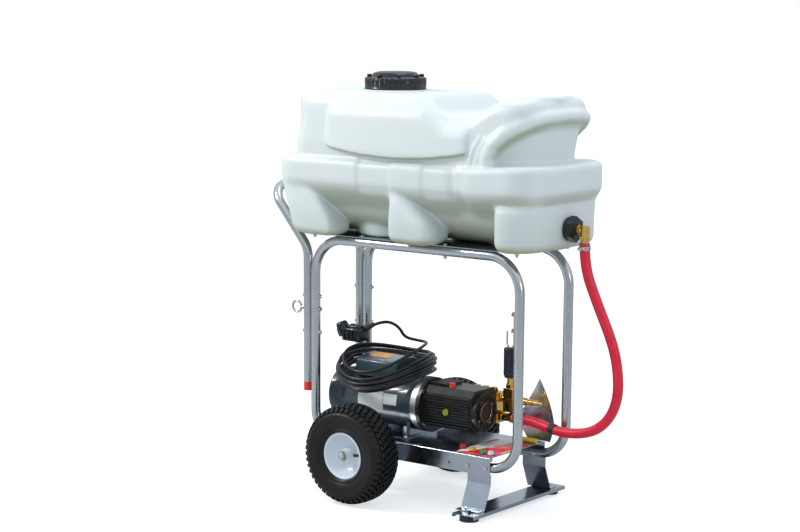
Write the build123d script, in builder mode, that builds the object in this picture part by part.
"""Wheeled sprayer cart: tank on two tube hoops, motor pump on a folded deck, wheels, skid and handle.

Millimetres. +X is the front, away from the handle, +Y the far side, +Z up.
The origin is on the ground, in the middle of the cart without its hose and cord.
"""
import math
import os

from build123d import *

os.makedirs("parts", exist_ok=True)

# Driving dimensions
REAR = -387.0  # X of the hoops' rear legs; most X places are counted from here
HOOP_LENGTH = 826.0
HOOP_TOP = 836.6  # centre line of the top runs
HOOP_BOTTOM = 157.0  # centre line of the runs inside the deck flanges
TOP_BEND = 115.0
BOTTOM_BEND = 100.0
TUBE_R = 15.875
TUBE_WALL = 2.1
SIDE_Y = 139.5  # hoop planes, each side of the middle
BOLT_R = 4.0
BOLT_FIT_R = 3.9  # shanks that pass through the holes
HEX_RADIUS = 1.7  # hexagon heads and nuts, in bolt radii
HEAD_HEIGHT = 1.2
NUT_HEIGHT = 1.6
BOLT_TAIL = 2.4  # thread past the nut's inner face
SHEET = 3.0

DECK_X = (REAR + 92, REAR + 734)
DECK_HALF = 158.5
DECK_TOP = 193.7
FLANGE_BOTTOM = 133.5

AXLE_X = REAR + 275
AXLE_Z = 165.0
AXLE_R = 9.525
TYRE_R = 165.0
TYRE_WIDTH = 127.0
WHEEL_Y = 286.8
RIM_R = 76.2
HUB_HALF = 50.0

SKID_X = REAR + 706
SKID_TOP = 25.0
SKID_HALF = 262.0
FOOT_Y = 228.0
FOOT_R = 31.0

HANDLE_X = REAR - 32.5
HANDLE_DROP = 100.0  # travel of the handle in its slots
KINK_Z = 800.0
LEAN = math.radians(40)
LEAN_LENGTH = 260.0
CROSSBAR_BEND = 80.0
HANDLE_FOOT = 346.0
END_CAP = 30.0
SIDE_BOLT_Z = (519.0, 641.0)
EYE_BOLT_Z = 598.0

TRAY_TOP = HOOP_TOP + TUBE_R + SHEET
TANK_X = (REAR - 133, REAR + 935)
TANK_HALF = 240.0
TANK_WALL = 5.0
LID_X = REAR + 226
LID_Z = 1330.0
OUTLET_Z = 924.0

SHAFT_Z = 298.0  # motor and pump axis
MOTOR_R = 88.0
MOTOR_X = (REAR + 10, REAR + 362)
FLANGE_X = (REAR + 362, REAR + 384)
PUMP_X = (REAR + 384, REAR + 590)
MANIFOLD_Y = 100.0
UNLOADER_X = REAR + 634
INLET_Z = 269.0

SIDES = (-1, 1)
UP = (Align.CENTER, Align.CENTER, Align.MIN)
DOWN = (Align.CENTER, Align.CENTER, Align.MAX)


def save(piece, label):
    """Name a finished piece and write it."""
    piece.part.label = label
    export_step(piece.part, f"parts/{label}.step")


def facing(x, y, z, direction):
    """Plane at a point whose normal is the given direction."""
    return Plane(origin=(x, y, z), z_dir=direction)


def disc(plane, radius, height, bore=0.0):
    """Round disc or ring that stands on a plane."""
    with BuildSketch(plane) as outline:
        Circle(radius)
        if bore:
            Circle(bore, mode=Mode.SUBTRACT)
    extrude(outline.sketch, amount=height)


def hexagon(plane, radius, height, bore=0.0):
    """Hexagon or nut that stands on a plane."""
    with BuildSketch(plane) as outline:
        RegularPolygon(radius, 6)
        if bore:
            Circle(bore, mode=Mode.SUBTRACT)
    extrude(outline.sketch, amount=height)


def bolt(head, grip, radius=BOLT_R):
    """Bolt whose head stands on a plane, with its nut behind the grip."""
    hexagon(head, HEX_RADIUS * radius, HEAD_HEIGHT * radius)
    disc(head, radius, -grip - BOLT_TAIL * radius)
    hexagon(head.offset(-grip), HEX_RADIUS * radius, -NUT_HEIGHT * radius)


def rounded_block(centre, size, corner, edge):
    """Block with rounded upright corners and softer top and bottom edges."""
    with BuildPart(mode=Mode.PRIVATE) as block:
        with BuildSketch(Plane.XY.offset(centre[2] - size[2] / 2)):
            with Locations((centre[0], centre[1])):
                RectangleRounded(size[0], size[1], corner)
        extrude(amount=size[2])
        top_and_bottom = block.faces().filter_by(Axis.Z)
        fillet(top_and_bottom.edges(), edge)
    return block.part


# Hoops: one tube each, bolted into the deck flanges by their lower ends
FRONT = REAR + HOOP_LENGTH
TUBE_ENDS = (REAR + 198, REAR + 628)
HOOP_BOLT_X = (REAR + 120, REAR + 180, REAR + 648, REAR + 718)
TRAY_BOLT_X = (REAR + 201, REAR + 537)
for side, label in zip(SIDES, ("hoop_near", "hoop_far")):
    with BuildPart() as hoop:
        y = side * SIDE_Y
        with BuildLine() as route:
            FilletPolyline(
                (TUBE_ENDS[1], y, HOOP_BOTTOM),
                (FRONT, y, HOOP_BOTTOM),
                (FRONT, y, HOOP_TOP),
                (REAR, y, HOOP_TOP),
                (REAR, y, HOOP_BOTTOM),
                (TUBE_ENDS[0], y, HOOP_BOTTOM),
                radius=[BOTTOM_BEND, TOP_BEND, TOP_BEND, BOTTOM_BEND],
            )
        with BuildSketch(facing(TUBE_ENDS[1], y, HOOP_BOTTOM, (1, 0, 0))):
            Circle(TUBE_R)
            Circle(TUBE_R - TUBE_WALL, mode=Mode.SUBTRACT)
        sweep()
        bolt_heights = SIDE_BOLT_Z + ((EYE_BOLT_Z,) if side < 0 else ())
        for z in bolt_heights:
            with Locations(Location((REAR, y, z), (0, 90, 0))):
                Cylinder(BOLT_R + 0.3, 3 * TUBE_R, mode=Mode.SUBTRACT)
        for x in TRAY_BOLT_X:
            with Locations((x, y, HOOP_TOP)):
                Cylinder(BOLT_R, 3 * TUBE_R, mode=Mode.SUBTRACT)
        for x in HOOP_BOLT_X:
            with Locations(Location((x, y, HOOP_BOTTOM), (90, 0, 0))):
                Cylinder(BOLT_R, 3 * TUBE_R, mode=Mode.SUBTRACT)
    save(hoop, label)

# Deck: folded channel with its two front legs
LEG_X = (REAR + 648, REAR + 738)
LEG_FOLD_Z = 106.0
LEG_FOOT_Y = 190.0
TAB_END_Y = 222.0
NOZZLES = {
    "nozzle_red": (REAR + 585, -98.0),
    "nozzle_orange": (REAR + 640, -117.0),
    "nozzle_green": (REAR + 684, -125.0),
    "nozzle_white": (REAR + 716, -127.0),
}
GROMMET_BORE = 6.3
DECK_HOLE = 9.0
SPARE_HOLE_X = (REAR + 530, REAR + 574.5)
CRADLE_X = (REAR + 205, REAR + 345)
CRADLE_BOLT_Y = 90.0
TAB_BOLT = (REAR + 678, 203.0)
with BuildPart() as deck:
    with BuildSketch(Plane.YZ.offset(DECK_X[0])):
        with BuildLine():
            mid = DECK_HALF - SHEET / 2
            top = DECK_TOP - SHEET / 2
            channel = ((-mid, FLANGE_BOTTOM), (-mid, top), (mid, top), (mid, FLANGE_BOTTOM))
            FilletPolyline(*channel, radius=4)
        trace(line_width=SHEET)
    extrude(amount=DECK_X[1] - DECK_X[0])
    with BuildSketch(Plane.YZ.offset(LEG_X[0])):
        for side in SIDES:
            with BuildLine():
                FilletPolyline(
                    (side * mid, FLANGE_BOTTOM + 5),
                    (side * mid, LEG_FOLD_Z),
                    (side * LEG_FOOT_Y, SKID_TOP + SHEET / 2),
                    (side * TAB_END_Y, SKID_TOP + SHEET / 2),
                    radius=4,
                )
            trace(line_width=SHEET)
    extrude(amount=LEG_X[1] - LEG_X[0])
    for x in HOOP_BOLT_X + SPARE_HOLE_X:
        with Locations(Location((x, 0, HOOP_BOTTOM), (90, 0, 0))):
            Cylinder(BOLT_R, 3 * DECK_HALF, mode=Mode.SUBTRACT)
    with Locations(Location((AXLE_X, 0, AXLE_Z), (90, 0, 0))):
        Cylinder(AXLE_R, 3 * DECK_HALF, mode=Mode.SUBTRACT)
    for x, y in NOZZLES.values():
        with Locations((x, y, DECK_TOP)):
            Cylinder(DECK_HOLE, 4 * SHEET, mode=Mode.SUBTRACT)
    for x in CRADLE_X:
        with Locations((x, -CRADLE_BOLT_Y, DECK_TOP), (x, CRADLE_BOLT_Y, DECK_TOP)):
            Cylinder(BOLT_R, 4 * SHEET, mode=Mode.SUBTRACT)
    for side in SIDES:
        with Locations((TAB_BOLT[0], side * TAB_BOLT[1], SKID_TOP)):
            Cylinder(BOLT_R, 4 * SHEET, mode=Mode.SUBTRACT)
save(deck, "deck_plate")

# Skid: shallow channel on two rubber feet
SKID_WIDTH = 86.0
SKID_LIP = 9.0
with BuildPart() as skid:
    with Locations((SKID_X, 0, SKID_TOP)):
        Box(SKID_WIDTH, 2 * SKID_HALF, SKID_LIP + SHEET, align=DOWN)
    with Locations((SKID_X, 0, SKID_TOP - SHEET)):
        Box(SKID_WIDTH - 2 * SHEET, 2 * SKID_HALF + 2, SKID_LIP + SHEET, align=DOWN, mode=Mode.SUBTRACT)
    for side in SIDES:
        with Locations((TAB_BOLT[0], side * TAB_BOLT[1], SKID_TOP), (SKID_X, side * FOOT_Y, SKID_TOP)):
            Cylinder(BOLT_R, 4 * SHEET, mode=Mode.SUBTRACT)
save(skid, "skid_bar")

with BuildPart() as feet:
    for side in SIDES:
        with BuildSketch(Plane(origin=(SKID_X, side * FOOT_Y, 0), z_dir=(0, 0, 1))):
            Circle(FOOT_R)
        extrude(amount=SKID_TOP - SHEET, taper=3)
        disc(Plane(origin=(SKID_X, side * FOOT_Y, SKID_TOP - SHEET)), BOLT_R, SHEET + 6)
        hexagon(Plane(origin=(SKID_X, side * FOOT_Y, SKID_TOP)), HEX_RADIUS * BOLT_R, 5)
save(feet, "rubber_feet")

# Tank tray on the hoops' top runs
TRAY_X = (REAR - 14, REAR + 832)
TRAY_HALF = 155.0
with BuildPart() as tray:
    with BuildSketch(Plane.XY.offset(TRAY_TOP - SHEET)):
        with Locations(((TRAY_X[0] + TRAY_X[1]) / 2, 0)):
            RectangleRounded(TRAY_X[1] - TRAY_X[0], 2 * TRAY_HALF, 12)
    extrude(amount=SHEET)
    for x in TRAY_BOLT_X:
        with Locations((x, -SIDE_Y, TRAY_TOP), (x, SIDE_Y, TRAY_TOP)):
            Cylinder(BOLT_R, 4 * SHEET, mode=Mode.SUBTRACT)
save(tray, "tank_tray")

# Tank: belt, humps and six lobes, hollow inside
LOBES = ((REAR - 42, REAR + 130), (REAR + 368, REAR + 530), (REAR + 772, REAR + 925))
LOBE_HALF = 38.0
LOBE_Y = 199.0
BELT_Z = (968.0, 1108.0)
BELLY_X = (REAR - 40, REAR + 912)
HUMP_REAR_X = (REAR - 57, REAR + 490)
HUMP_HALF = 205.0
NECK_BLOCK_X = (REAR + 560, REAR + 872)
HUMP_FRONT_X = (REAR + 610, REAR + 905)
SADDLE_Z = 1276.0
NECK_R = 88.0
NECK_BORE = 78.0


def tank_blocks(inset):
    """Blocks of the tank's form, every face moved inwards by the inset."""

    def block(x_span, half_width, z_span, corner, edge, y=0.0):
        size = (
            x_span[1] - x_span[0] - 2 * inset,
            2 * (half_width - inset),
            z_span[1] - z_span[0] - 2 * inset,
        )
        centre = (sum(x_span) / 2, y, sum(z_span) / 2)
        return rounded_block(centre, size, corner - inset, edge - inset)

    add(block(TANK_X, TANK_HALF, BELT_Z, 110, 44))
    add(block(BELLY_X, 165, (TRAY_TOP + 8, 1040), 60, 30))
    add(block(HUMP_REAR_X, HUMP_HALF, (1000, LID_Z), 80, 40))
    add(block((REAR + 300, REAR + 800), HUMP_HALF, (1000, SADDLE_Z), 60, 40))
    add(block(HUMP_FRONT_X, HUMP_HALF, (1180, LID_Z), 90, 40))
    add(block(NECK_BLOCK_X, 190, (1000, 1290), 90, 40))
    for span in LOBES:
        for side in SIDES:
            add(block(span, LOBE_HALF, (TRAY_TOP + 0.3, 1040), 34, 24, y=side * LOBE_Y))


with BuildPart() as tank:
    tank_blocks(0)
    with BuildPart(mode=Mode.PRIVATE) as cavity:
        tank_blocks(TANK_WALL)
    with Locations((LID_X, 0, LID_Z - 20)):
        Cylinder(NECK_R, 50, align=UP)
    add(cavity.part, mode=Mode.SUBTRACT)
    with Locations((LID_X, 0, LID_Z - 40)):
        Cylinder(NECK_BORE, 100, align=UP, mode=Mode.SUBTRACT)
    with Locations(Location((TANK_X[1] - 60, 0, OUTLET_Z), (0, 90, 0))):
        Cylinder(24, 100, mode=Mode.SUBTRACT)
save(tank, "tank")

NECK_TOP = LID_Z + 30
with BuildPart() as gasket:
    disc(Plane((LID_X, 0, NECK_TOP)), NECK_R + 3, 3, bore=NECK_BORE)
save(gasket, "lid_gasket")

LID_R = 103.0
LID_TOP = 1391.0
with BuildPart() as lid:
    disc(Plane((LID_X, 0, LID_Z + 2)), LID_R, LID_TOP - 18 - LID_Z - 2)
    with BuildSketch(Plane((LID_X, 0, LID_TOP - 18))):
        Circle(78)
    extrude(amount=18, taper=30)
    with Locations((LID_X, 0, LID_Z)):
        Cylinder(NECK_R + 5, NECK_TOP - LID_Z + 3, align=UP, mode=Mode.SUBTRACT)
    grip_edges = lid.edges().filter_by(GeomType.CIRCLE).group_by(SortBy.RADIUS)[-1]
    chamfer(grip_edges.sort_by(Axis.Z)[-1], 5)
save(lid, "tank_lid")

# Tank outlet: bulkhead fitting, brass elbow and its hose tail
OUTLET_X = BELLY_X[1]
ELBOW_X = REAR + 971
HOSE_R = 16.5
HOSE_BORE = 12.5
TAIL_R = 12.4
TAIL_LENGTH = 26.0  # how far each tail reaches into the hose
OUTLET_R = 23.9  # threaded body of the bulkhead fitting
OUTLET_BORE = 13.0


def from_outlet(x, direction=1):
    """Plane across the outlet's axis, at a distance in front of the tank's wall."""
    return facing(OUTLET_X + x, 0, OUTLET_Z, (direction, 0, 0))


with BuildPart() as bulkhead:
    disc(from_outlet(-TANK_WALL, -1), 29, 8, bore=OUTLET_BORE)
    disc(from_outlet(-TANK_WALL), OUTLET_R, TANK_WALL + 30, bore=OUTLET_BORE)
    disc(from_outlet(0.2), 38, 6, bore=OUTLET_R)
    hexagon(from_outlet(6), 42, 22, bore=OUTLET_R)
save(bulkhead, "bulkhead_fitting")

HOSE_TOP = 884.0
with BuildPart() as elbow:
    disc(from_outlet(12), OUTLET_BORE, ELBOW_X - OUTLET_X - 12)
    hexagon(from_outlet(31), 17, 8)
    disc(Plane((ELBOW_X, 0, OUTLET_Z + 14)), 14.5, -32)
    hexagon(Plane((ELBOW_X, 0, OUTLET_Z - 18)), 18, -12)
    tail_top = OUTLET_Z - 30
    disc(Plane((ELBOW_X, 0, tail_top)), TAIL_R, HOSE_TOP - TAIL_LENGTH - tail_top)
save(elbow, "tank_elbow")

# Suction hose from the elbow's tail to the pump's inlet tail
HOSE_END = REAR + 664
HOSE_ROUTE = [
    (ELBOW_X, 0, HOSE_TOP),
    (ELBOW_X, 0, 812),
    (REAR + 1016, 7, 700),
    (REAR + 1068, 22, 575),
    (REAR + 1083, 32, 490),
    (REAR + 1081, 41, 406),
    (REAR + 1053, 50, 339),
    (REAR + 1002, 59, 288),
    (REAR + 936, 69, 261),
    (REAR + 852, 82, 251),
    (REAR + 776, 94, 259),
    (HOSE_END + 56, MANIFOLD_Y, INLET_Z),
    (HOSE_END, MANIFOLD_Y, INLET_Z),
]


def bend_radii(route, factor=0.45):
    """Largest tangent arc at each corner of a route, from its shorter run and its turn."""
    radii = []
    for before, corner, after in zip(route, route[1:], route[2:]):
        run_in = Vector(*corner) - Vector(*before)
        run_out = Vector(*after) - Vector(*corner)
        half_turn = math.radians(run_in.get_angle(run_out) / 2)
        radii.append(factor * min(run_in.length, run_out.length) / math.tan(half_turn))
    return radii


def report_tube(name, path, piece, section, diameter, radii):
    """Print a tube's length, tightest bends and the match of its volume."""
    length = path.wire().length
    ratio = piece.volume / (section * length)
    print(f"{name}: length {length:.0f}, radii {[round(r) for r in radii]},"
          f" least {min(radii) / diameter:.1f} diameters, volume ratio {ratio:.4f}")


with BuildPart() as hose:
    with BuildLine() as hose_path:
        FilletPolyline(*HOSE_ROUTE, radius=bend_radii(HOSE_ROUTE))
    with BuildSketch(Plane(origin=hose_path.line @ 0, z_dir=hose_path.line % 0)):
        Circle(HOSE_R)
        Circle(HOSE_BORE, mode=Mode.SUBTRACT)
    sweep()
hose_section = math.pi * (HOSE_R**2 - HOSE_BORE**2)
report_tube("suction_hose", hose_path, hose.part, hose_section, 2 * HOSE_R, bend_radii(HOSE_ROUTE))
save(hose, "suction_hose")

CLAMP_WIDTH = 12.0
with BuildPart() as clamps:
    for plane, screw in (
        (Plane((ELBOW_X, 0, HOSE_TOP - 22)), (0, -HOSE_R - 9, CLAMP_WIDTH / 2)),
        (facing(HOSE_END + 12, MANIFOLD_Y, INLET_Z, (1, 0, 0)), (CLAMP_WIDTH / 2, 0, HOSE_R + 6)),
    ):
        disc(plane, HOSE_R + 2.2, CLAMP_WIDTH, bore=HOSE_R + 0.6)
        with Locations(plane.origin + Vector(*screw)):
            Box(14, 14, 8.5)
save(clamps, "hose_clamps")

# Axle and wheels
with BuildPart() as axle:
    half = WHEEL_Y + HUB_HALF + 9
    disc(facing(AXLE_X, -half, AXLE_Z, (0, 1, 0)), AXLE_R, 2 * half)
save(axle, "axle")

with BuildPart() as collars:
    for side in SIDES:
        inner = facing(AXLE_X, side * (DECK_HALF + 0.1), AXLE_Z, (0, side, 0))
        disc(inner, 13, WHEEL_Y - HUB_HALF - DECK_HALF - 0.5, bore=AXLE_R)
        disc(facing(AXLE_X, side * (WHEEL_Y + HUB_HALF + 0.4), AXLE_Z, (0, side, 0)), 13, 6, bore=AXLE_R)
save(collars, "axle_collars")

VALVE_R = 4.0
VALVE_OFFSET = 48.0
DISH = 14.0  # the rim's web stands this far inside its outer edge
for side, name in zip(SIDES, ("near", "far")):
    hub_plane = facing(AXLE_X, side * (WHEEL_Y - HUB_HALF), AXLE_Z, (0, side, 0))
    with BuildPart() as bearings:
        for start in (0, 2 * HUB_HALF - 12):
            disc(hub_plane.offset(start), 17, 12, bore=AXLE_R + 0.05)
    save(bearings, f"bearings_{name}")
    with BuildPart() as rim:
        disc(hub_plane, 21, 2 * HUB_HALF, bore=17)
        disc(hub_plane.offset(12), 17, 2 * HUB_HALF - 24, bore=13)
        for edge in (0, 2 * HUB_HALF - 5):
            disc(hub_plane.offset(edge), RIM_R + 9, 5, bore=RIM_R - 4)
        disc(hub_plane, RIM_R - 0.5, 2 * HUB_HALF, bore=RIM_R - 4)
        disc(hub_plane.offset(2 * HUB_HALF - DISH - 22), RIM_R - 3, 4, bore=20)
        valve_y = side * (WHEEL_Y + HUB_HALF - DISH - 26)
        valve_place = facing(AXLE_X + VALVE_OFFSET, valve_y, AXLE_Z, (0, side, 0))
        with Locations(valve_place):
            Cylinder(VALVE_R, 30, mode=Mode.SUBTRACT)
    save(rim, f"rim_{name}")
    with BuildPart() as tyre:
        with BuildSketch(Plane.YZ.offset(AXLE_X)) as section:
            with Locations((side * WHEEL_Y, AXLE_Z + (RIM_R + TYRE_R) / 2)):
                RectangleRounded(TYRE_WIDTH, TYRE_R - RIM_R, 34)
                RectangleRounded(TYRE_WIDTH - 16, TYRE_R - RIM_R - 18, 27, mode=Mode.SUBTRACT)
            with Locations((side * WHEEL_Y, AXLE_Z + RIM_R)):
                Rectangle(2 * HUB_HALF - 40, 26, mode=Mode.SUBTRACT)
                with GridLocations(2 * HUB_HALF + 30, 0, 2, 1):
                    Rectangle(40.2, 18.6, mode=Mode.SUBTRACT)
        revolve(axis=Axis((AXLE_X, 0, AXLE_Z), (0, 1, 0)))
    save(tyre, f"tyre_{name}")

# Handle: one tube, slotted where the hoop bolts pass through it
with BuildPart() as handle:
    lean = Vector(-math.sin(LEAN), 0, math.cos(LEAN)) * LEAN_LENGTH
    with BuildLine() as handle_path:
        points = [
            (HANDLE_X, -SIDE_Y, HANDLE_FOOT),
            (HANDLE_X, -SIDE_Y, KINK_Z),
            (HANDLE_X + lean.X, -SIDE_Y, KINK_Z + lean.Z),
            (HANDLE_X + lean.X, SIDE_Y, KINK_Z + lean.Z),
            (HANDLE_X, SIDE_Y, KINK_Z),
            (HANDLE_X, SIDE_Y, HANDLE_FOOT),
        ]
        FilletPolyline(*points, radius=[90, CROSSBAR_BEND, CROSSBAR_BEND, 90])
    with BuildSketch(Plane((HANDLE_X, -SIDE_Y, HANDLE_FOOT))):
        Circle(TUBE_R)
        Circle(TUBE_R - TUBE_WALL, mode=Mode.SUBTRACT)
    sweep()
    slot_low = SIDE_BOLT_Z[0]
    slot_high = SIDE_BOLT_Z[1] + HANDLE_DROP
    for side in SIDES:
        with Locations((HANDLE_X, side * SIDE_Y, (slot_low + slot_high) / 2)):
            Box(40, 2 * BOLT_R + 0.6, slot_high - slot_low, mode=Mode.SUBTRACT)
        for z in (slot_low, slot_high):
            with Locations(Location((HANDLE_X, side * SIDE_Y, z), (0, 90, 0))):
                Cylinder(BOLT_R + 0.3, 40, mode=Mode.SUBTRACT)
save(handle, "handle_tube")

with BuildPart() as end_caps:
    for side in SIDES:
        foot = Plane((HANDLE_X, side * SIDE_Y, HANDLE_FOOT))
        disc(foot, TUBE_R - TUBE_WALL, 20)
        disc(foot, TUBE_R, -END_CAP)
save(end_caps, "handle_end_caps")

# Bolts through the handle's slots and the hoops' rear legs
SIDE_GRIP = 4 * TUBE_R + 1.55
HEAD_X = HANDLE_X - TUBE_R - 0.4
with BuildPart() as side_bolts:
    for side in SIDES:
        for z in SIDE_BOLT_Z:
            bolt(facing(HEAD_X, side * SIDE_Y, z, (-1, 0, 0)), SIDE_GRIP, 3.95)
save(side_bolts, "side_bolts")

EYE_R = 19.0
EYE_WIRE = 4.0
with BuildPart() as eye_bolt:
    disc(facing(HEAD_X, -SIDE_Y, EYE_BOLT_Z, (-1, 0, 0)), 8, 4)
    disc(facing(HEAD_X - 14, -SIDE_Y, EYE_BOLT_Z, (1, 0, 0)), 3.95, SIDE_GRIP + 24)
    hexagon(facing(HEAD_X + SIDE_GRIP + 0.3, -SIDE_Y, EYE_BOLT_Z, (1, 0, 0)), 7.5, 7)
    with Locations(Location((HEAD_X - 14 - EYE_R, -SIDE_Y, EYE_BOLT_Z), (90, 0, 0))):
        Torus(EYE_R, EYE_WIRE)
save(eye_bolt, "eye_bolt")

# Lance hook on the near hoop's front leg
HOOK_R = 3.2
HOOK_TOP = 668.0
HOOK_X = FRONT - TUBE_R - HOOK_R
with BuildPart() as hook:
    with BuildLine() as hook_path:
        FilletPolyline(
            (HOOK_X, -SIDE_Y, HOOK_TOP),
            (HOOK_X, -SIDE_Y, 556),
            (HOOK_X - 26, -SIDE_Y, 556),
            (HOOK_X - 26, -SIDE_Y, 606),
            radius=[12, 12],
        )
    with BuildSketch(Plane((HOOK_X, -SIDE_Y, HOOK_TOP))):
        Circle(HOOK_R)
    sweep()
    for z in (HOOK_TOP - 8, HOOK_TOP - 60):
        disc(facing(FRONT - TUBE_R - 2 * HOOK_R - 2, -SIDE_Y, z, (1, 0, 0)), 3, 2 * HOOK_R + 2)
        disc(facing(FRONT - TUBE_R - 2 * HOOK_R - 2, -SIDE_Y, z, (-1, 0, 0)), 7, 3)
save(hook, "lance_hook")


def on_shaft(x, direction=1):
    """Plane across the motor's axis."""
    return facing(x, 0, SHAFT_Z, (direction, 0, 0))


# Motor
SHAFT_R = 8.0
BARREL_X = REAR + 45
MOTOR_WALL = 5.0
with BuildPart() as cradle:
    with Locations((sum(CRADLE_X) / 2, 0, DECK_TOP)):
        Box(CRADLE_X[1] - CRADLE_X[0] + 30, 2 * CRADLE_BOLT_Y + 30, SHEET, align=UP)
    for x in CRADLE_X:
        with Locations((x, 0, DECK_TOP)):
            Box(14, 150, 52, align=UP)
    with Locations(Location((sum(CRADLE_X) / 2, 0, SHAFT_Z), (0, 90, 0))):
        Cylinder(MOTOR_R, 400, mode=Mode.SUBTRACT)
    for x in CRADLE_X:
        with Locations((x, -CRADLE_BOLT_Y, DECK_TOP), (x, CRADLE_BOLT_Y, DECK_TOP)):
            Cylinder(BOLT_R, 4 * SHEET, mode=Mode.SUBTRACT)
save(cradle, "motor_cradle")

# Bolts of the whole frame: skid, hoops, tray and cradle
with BuildPart() as frame_bolts:
    for side in SIDES:
        bolt(Plane((TAB_BOLT[0], side * TAB_BOLT[1], SKID_TOP + SHEET)), 2 * SHEET, BOLT_FIT_R)
        for x in HOOP_BOLT_X:
            bolt(facing(x, side * DECK_HALF, HOOP_BOTTOM, (0, side, 0)), 2 * TUBE_R + SHEET + 0.4, BOLT_FIT_R)
        for x in TRAY_BOLT_X:
            bolt(Plane((x, side * SIDE_Y, TRAY_TOP)), 2 * TUBE_R + SHEET, BOLT_FIT_R)
        for x in CRADLE_X:
            bolt(Plane((x, side * CRADLE_BOLT_Y, DECK_TOP + SHEET)), 2 * SHEET, BOLT_FIT_R)
save(frame_bolts, "frame_bolts")

with BuildPart() as housing:
    disc(on_shaft(BARREL_X), MOTOR_R, MOTOR_X[1] - BARREL_X, bore=MOTOR_R - MOTOR_WALL)
    disc(on_shaft(BARREL_X + 14), MOTOR_R - MOTOR_WALL, 6, bore=15)
save(housing, "motor_housing")

COVER_DEPTH = BARREL_X - MOTOR_X[0]
with BuildPart() as fan_cover:
    disc(on_shaft(BARREL_X - 0.5, -1), MOTOR_R - 1, COVER_DEPTH)
    fillet(fan_cover.edges().filter_by(GeomType.CIRCLE).sort_by(Axis.X)[0], 6)
    with Locations(on_shaft(BARREL_X, -1)):
        Cylinder(MOTOR_R - 4, COVER_DEPTH - 4, align=UP, mode=Mode.SUBTRACT)
    with Locations(on_shaft(MOTOR_X[0])):
        with PolarLocations(48, 12):
            Box(34, 7, 20, mode=Mode.SUBTRACT)
save(fan_cover, "fan_cover")

with BuildPart() as motor_flange:
    disc(on_shaft(FLANGE_X[0]), 92, FLANGE_X[1] - FLANGE_X[0], bore=17)
save(motor_flange, "motor_flange")

with BuildPart() as motor_bearings:
    disc(on_shaft(BARREL_X + 14), 15, 6, bore=SHAFT_R + 0.05)
    disc(on_shaft(FLANGE_X[0] + 2), 17, 12, bore=SHAFT_R + 0.05)
save(motor_bearings, "motor_bearings")

STATOR_X = (REAR + 95, REAR + 300)
with BuildPart() as stator:
    disc(on_shaft(STATOR_X[0]), MOTOR_R - MOTOR_WALL, STATOR_X[1] - STATOR_X[0], bore=48)
save(stator, "stator_core")

PLUNGER_X = (REAR + 502, REAR + 535.5, REAR + 569)
CRANK_THROW = 8.0
SHAFT_END = REAR + 582
with BuildPart() as rotor:
    disc(on_shaft(MOTOR_X[0] + 8), SHAFT_R, SHAFT_END - MOTOR_X[0] - 8)
    disc(on_shaft(STATOR_X[0]), 47, STATOR_X[1] - STATOR_X[0])
    disc(on_shaft(MOTOR_X[0] + 9), 14, 16)
    with Locations(on_shaft(MOTOR_X[0] + 9)):
        with PolarLocations(40, 8):
            Box(60, 2.5, 16, align=UP)
save(rotor, "rotor_shaft")

with BuildPart() as crank:
    for index, x in enumerate(PLUNGER_X):
        angle = math.radians(120 * index + 30)
        centre = (x - 8, CRANK_THROW * math.cos(angle), SHAFT_Z + CRANK_THROW * math.sin(angle))
        disc(facing(*centre, (1, 0, 0)), 22, 16)
        with Locations(on_shaft(x)):
            Cylinder(SHAFT_R, 40, mode=Mode.SUBTRACT)
save(crank, "pump_crank")

# Terminal box on the motor's far side, with the cord's strain relief
BOX_X = (REAR + 215, REAR + 300)
BOX_Y = (80, 134)
BOX_Z = (246, 344)
GLAND_Y = 110.0
GLAND_Z = 272.0
GLAND_LENGTH = 26.0
with BuildPart() as terminal_box:
    size = (BOX_X[1] - BOX_X[0], BOX_Y[1] - BOX_Y[0], BOX_Z[1] - BOX_Z[0])
    with Locations((sum(BOX_X) / 2, sum(BOX_Y) / 2, sum(BOX_Z) / 2)):
        Box(*size)
        fillet(terminal_box.edges(), 4)
        Box(size[0] - 5, size[1] - 5, size[2] - 5, mode=Mode.SUBTRACT)
    with Locations(on_shaft(REAR + 180)):
        Cylinder(MOTOR_R, 400, mode=Mode.SUBTRACT)
    with Locations(facing(BOX_X[0] - 5, GLAND_Y, GLAND_Z, (1, 0, 0))):
        Cylinder(8, 12, align=UP, mode=Mode.SUBTRACT)
save(terminal_box, "terminal_box")

CORD_R = 5.3
CORD_EXIT = (BOX_X[0] - GLAND_LENGTH, GLAND_Y, GLAND_Z)
with BuildPart() as gland:
    gland_face = facing(BOX_X[0], GLAND_Y, GLAND_Z, (-1, 0, 0))
    disc(gland_face, 8, -2.5)
    disc(gland_face, 12, 4)
    with BuildSketch(gland_face.offset(4)) as cone:
        Circle(10)
    extrude(cone.sketch, amount=GLAND_LENGTH - 4, taper=8)
save(gland, "strain_relief")

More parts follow.
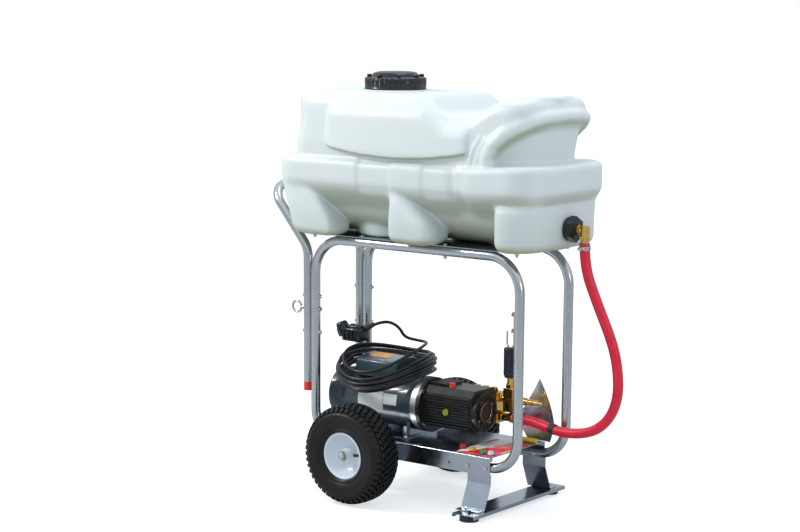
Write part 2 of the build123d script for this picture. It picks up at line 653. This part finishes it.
# Pump
BODY_X = (REAR + 398, REAR + 592)
BODY_NEAR = -62.0
BODY_FAR = 78.0
BODY_Z = (236.0, 372.0)
CAVITY_R = 52.0
FIN_PITCH = 9.5
PLUNGER_R = 9.0
OIL_CAP_AT = (REAR + 492, -30.0)
FLANGE_BOLT_CIRCLE = 84.0
FLANGE_BOLTS = []
for turn in (39, 141, 219, 321):
    angle = math.radians(turn)
    height = SHAFT_Z + FLANGE_BOLT_CIRCLE * math.sin(angle)
    FLANGE_BOLTS.append((FLANGE_BOLT_CIRCLE * math.cos(angle), height))
with BuildPart() as crankcase:
    disc(on_shaft(PUMP_X[0]), 92, BODY_X[0] - PUMP_X[0])
    with BuildSketch(Plane.YZ.offset(BODY_X[0])) as body:
        with Locations(((BODY_NEAR + BODY_FAR) / 2, sum(BODY_Z) / 2)):
            Rectangle(BODY_FAR - BODY_NEAR, BODY_Z[1] - BODY_Z[0])
        chamfer(body.vertices(), 20)
    extrude(amount=BODY_X[1] - BODY_X[0])
    for row in range(11):
        z = SHAFT_Z + (row - 5) * FIN_PITCH
        with Locations(((BODY_X[0] + BODY_X[1]) / 2, BODY_NEAR, z)):
            Box(BODY_X[1] - BODY_X[0] - 16, 14, 3.6)
    for column in range(8):
        with Locations((BODY_X[0] + 8 + column * FIN_PITCH, 6, BODY_Z[1])):
            Box(3.6, 84, 18)
    disc(on_shaft(PUMP_X[0]), 18, 30)
    with Locations(on_shaft(BODY_X[0] + 8)):
        Cylinder(CAVITY_R, BODY_X[1] - BODY_X[0] - 8, align=UP, mode=Mode.SUBTRACT)
    with Locations(on_shaft(PUMP_X[0] - 1)):
        Cylinder(SHAFT_R + 0.5, 60, align=UP, mode=Mode.SUBTRACT)
    for x in PLUNGER_X:
        with Locations(Location((x, BODY_FAR, SHAFT_Z), (90, 0, 0))):
            Cylinder(PLUNGER_R, 90, mode=Mode.SUBTRACT)
    for y, z in FLANGE_BOLTS:
        with Locations(facing(BODY_X[0], y, z, (1, 0, 0))):
            Cylinder(8, 12, align=UP, mode=Mode.SUBTRACT)
    with Locations((*OIL_CAP_AT, BODY_Z[1] - 30)):
        Cylinder(6, 60, mode=Mode.SUBTRACT)
save(crankcase, "pump_crankcase")

with BuildPart() as plungers:
    for x in PLUNGER_X:
        disc(facing(x, CAVITY_R + 2, SHAFT_Z, (0, 1, 0)), PLUNGER_R, 46)
save(plungers, "plungers")

COVER_R = 64.0
with BuildPart() as end_cover:
    disc(on_shaft(BODY_X[1]), COVER_R, 8)
    disc(on_shaft(BODY_X[1] + 8), COVER_R, 5, bore=COVER_R - 7)
    disc(on_shaft(BODY_X[1] + 8), 38, 8, bore=33)
    disc(on_shaft(BODY_X[1] + 8), 24, 4)
    with Locations(on_shaft(BODY_X[1] + 8)):
        with PolarLocations(48, 16):
            Box(18, 3, 3.5, align=UP)
save(end_cover, "pump_end_cover")

with BuildPart() as pump_bolts:
    for y, z in FLANGE_BOLTS:
        hexagon(facing(BODY_X[0], y, z, (1, 0, 0)), 7, 6)
    for angle in (33.75, 123.75, 213.75, 303.75):
        y = 43 * math.cos(math.radians(angle))
        z = SHAFT_Z + 43 * math.sin(math.radians(angle))
        disc(facing(BODY_X[1] + 8, y, z, (1, 0, 0)), 3.4, 5)
save(pump_bolts, "pump_bolts")

with BuildPart() as oil_cap:
    disc(Plane((*OIL_CAP_AT, BODY_Z[1])), 11, 7)
    disc(Plane((*OIL_CAP_AT, BODY_Z[1] + 7)), 7.5, 8)
    disc(Plane((*OIL_CAP_AT, BODY_Z[1])), 6, -6)
    with Locations((*OIL_CAP_AT, BODY_Z[1] + 12)):
        Box(22, 6, 6)
save(oil_cap, "oil_cap")

with BuildPart() as sight_glass:
    disc(facing(REAR + 494, BODY_NEAR - 7, SHAFT_Z - 2, (0, -1, 0)), 11, 3.5)
save(sight_glass, "sight_glass")

BLOCK_Y = (BODY_FAR, 128.0)
BLOCK_X = (REAR + 478, REAR + 592)
BLOCK_Z = (246.0, 350.0)
UNLOADER_Z = 330.0
with BuildPart() as manifold:
    with Locations((sum(BLOCK_X) / 2, sum(BLOCK_Y) / 2, sum(BLOCK_Z) / 2)):
        Box(BLOCK_X[1] - BLOCK_X[0], BLOCK_Y[1] - BLOCK_Y[0], BLOCK_Z[1] - BLOCK_Z[0])
    chamfer(manifold.edges().filter_by(Axis.X), 7)
    for x in PLUNGER_X:
        with Locations(Location((x, BLOCK_Y[0], SHAFT_Z), (90, 0, 0))):
            Cylinder(PLUNGER_R, 2 * (CAVITY_R + 48 - BLOCK_Y[0]) + 0.2, mode=Mode.SUBTRACT)
        disc(facing(x, BLOCK_Y[1], SHAFT_Z - 22, (0, 1, 0)), 12, 6)
save(manifold, "pump_manifold")

with BuildPart() as valve_caps:
    for x in PLUNGER_X:
        hexagon(Plane((x, MANIFOLD_Y, BLOCK_Z[1])), 14, 9)
        disc(Plane((x, MANIFOLD_Y, BLOCK_Z[1] + 9)), 10, 5)
save(valve_caps, "valve_caps")

KNOB_Z = (404.0, 505.0)
KNOB_R = 25.0
STEM_R = 8.0
STEM_TOP = 440.0
with BuildPart() as unloader:
    hexagon(facing(BLOCK_X[1], MANIFOLD_Y, UNLOADER_Z, (1, 0, 0)), 15, 10)
    disc(facing(BLOCK_X[1] + 10, MANIFOLD_Y, UNLOADER_Z, (1, 0, 0)), 10, 16)
    with Locations((UNLOADER_X, MANIFOLD_Y, 290)):
        Box(36, 36, 78, align=UP)
    hexagon(Plane((UNLOADER_X, MANIFOLD_Y, 368)), 18, 14)
    disc(Plane((UNLOADER_X, MANIFOLD_Y, 382)), 13, 21)
    disc(Plane((UNLOADER_X, MANIFOLD_Y, 400)), STEM_R, STEM_TOP - 400)
save(unloader, "unloader_body")

with BuildPart() as knob:
    disc(Plane((UNLOADER_X, MANIFOLD_Y, KNOB_Z[0])), KNOB_R - 3, 8)
    disc(Plane((UNLOADER_X, MANIFOLD_Y, KNOB_Z[0] + 8)), KNOB_R, KNOB_Z[1] - KNOB_Z[0] - 8)
    fillet(knob.edges().filter_by(GeomType.CIRCLE).sort_by(Axis.Z)[-1], 8)
    with Locations((UNLOADER_X, MANIFOLD_Y, KNOB_Z[0] + 20)):
        with PolarLocations(KNOB_R + 1.2, 12):
            Cylinder(3, 80, align=UP, mode=Mode.SUBTRACT)
    with Locations((UNLOADER_X, MANIFOLD_Y, KNOB_Z[0] - 1)):
        Cylinder(STEM_R + 0.06, STEM_TOP - KNOB_Z[0] + 2, align=UP, mode=Mode.SUBTRACT)
save(knob, "unloader_knob")

PLUG_START = UNLOADER_X + 18
PLUG_PARTS = ((9, 30), (13, 14), (9.5, 20), (11.5, 6), (8, 22), (6, 12))
with BuildPart() as discharge:
    x = PLUG_START
    for radius, length in PLUG_PARTS:
        disc(facing(x, MANIFOLD_Y, UNLOADER_Z, (1, 0, 0)), radius, length)
        x += length
save(discharge, "discharge_plug")

with BuildPart() as inlet:
    hexagon(facing(BLOCK_X[1], MANIFOLD_Y, INLET_Z, (1, 0, 0)), 19, 14)
    disc(facing(BLOCK_X[1] + 14, MANIFOLD_Y, INLET_Z, (1, 0, 0)), 14, 28)
    hexagon(facing(BLOCK_X[1] + 42, MANIFOLD_Y, INLET_Z, (1, 0, 0)), 18, 12)
    tail_start = BLOCK_X[1] + 54
    disc(facing(tail_start, MANIFOLD_Y, INLET_Z, (1, 0, 0)), TAIL_R, HOSE_END + TAIL_LENGTH - tail_start)
save(inlet, "inlet_fitting")

# Spray nozzles in rubber grommets
GROMMET_STEPS = ((DECK_TOP, 13, 3), (DECK_TOP, DECK_HOLE, -SHEET), (DECK_TOP - SHEET, 12, -3))
with BuildPart() as grommets:
    for x, y in NOZZLES.values():
        for z, radius, height in GROMMET_STEPS:
            disc(Plane((x, y, z)), radius, height, bore=GROMMET_BORE)
save(grommets, "nozzle_grommets")

for label, (x, y) in NOZZLES.items():
    with BuildPart() as nozzle:
        hexagon(Plane((x, y, DECK_TOP + 3.05)), 11, 9)
        disc(Plane((x, y, DECK_TOP + 12.05)), 8, 3)
        disc(Plane((x, y, DECK_TOP + 3.05)), GROMMET_BORE - 0.3, -22, bore=2)
    save(nozzle, label)

GUARD_R = 8.0
with BuildPart() as edge_guard:
    disc(facing(REAR + 645, 110, DECK_TOP + GUARD_R, (1, 0, 0)), GUARD_R, 89)
save(edge_guard, "edge_guard")

# Lance holster: rolled sheet with a pointed back, standing on the deck
HOLSTER_X = REAR + 716
with BuildPart() as holster:
    with BuildSketch(Plane.XZ.offset(-90)):
        with BuildLine():
            Polyline(
                (HOLSTER_X - 4, 402),
                (HOLSTER_X + 82, 262),
                (HOLSTER_X + 48, 196),
                (HOLSTER_X - 40, DECK_TOP),
                (HOLSTER_X - 74, 262),
                close=True,
            )
        make_face()
    extrude(amount=-90)
    with Locations((HOLSTER_X, 51, 150)):
        Cylinder(104, 300, align=UP, mode=Mode.INTERSECT)
        Cylinder(102, 300, align=UP, mode=Mode.SUBTRACT)
save(holster, "wand_holster")

# Power cord: lead from the gland to the coil, coil on the motor, tail from the coil to the plug
COIL_X = REAR + 195
COIL_R = (98.0, 180.0)
COIL_Z = (352.0, 472.0)
with BuildPart() as coil:
    disc(Plane((COIL_X, 0, COIL_Z[0])), COIL_R[1], COIL_Z[1] - COIL_Z[0], bore=COIL_R[0])
    with Locations(on_shaft(REAR + 180)):
        Cylinder(MOTOR_R + 5.5, 600, mode=Mode.SUBTRACT)
    fillet(coil.edges().filter_by(GeomType.CIRCLE).group_by(Axis.Z)[-1], 24)
save(coil, "cord_coil")

PLUG_BOX = ((REAR - 10, REAR + 98), (-36, 36), (COIL_Z[1], 548))
LEAD_ROUTE = [
    CORD_EXIT,
    (CORD_EXIT[0] - 45, GLAND_Y + 1, GLAND_Z + 3),
    (CORD_EXIT[0] - 78, GLAND_Y + 4, GLAND_Z + 31),
    (CORD_EXIT[0] - 84, GLAND_Y + 8, COIL_Z[0]),
]
TAIL_ROUTE = [
    (PLUG_BOX[0][1], 20, 524),
    (REAR + 128, 34, 540),
    (REAR + 158, 62, 545),
    (REAR + 178, 92, 522),
    (REAR + 184, 112, 486),
    (REAR + 183, 118, COIL_Z[1]),
]
for label, route in (("cord_lead", LEAD_ROUTE), ("cord_tail", TAIL_ROUTE)):
    with BuildPart() as cord:
        with BuildLine() as cord_path:
            FilletPolyline(*route, radius=bend_radii(route))
        with BuildSketch(Plane(origin=cord_path.line @ 0, z_dir=cord_path.line % 0)):
            Circle(CORD_R)
        sweep()
    report_tube(label, cord_path, cord.part, math.pi * CORD_R**2, 2 * CORD_R, bend_radii(route))
    save(cord, label)

with BuildPart() as plug:
    size = [high - low for low, high in PLUG_BOX]
    add(rounded_block([sum(span) / 2 for span in PLUG_BOX], size, 10, 6))
save(plug, "cord_plug")
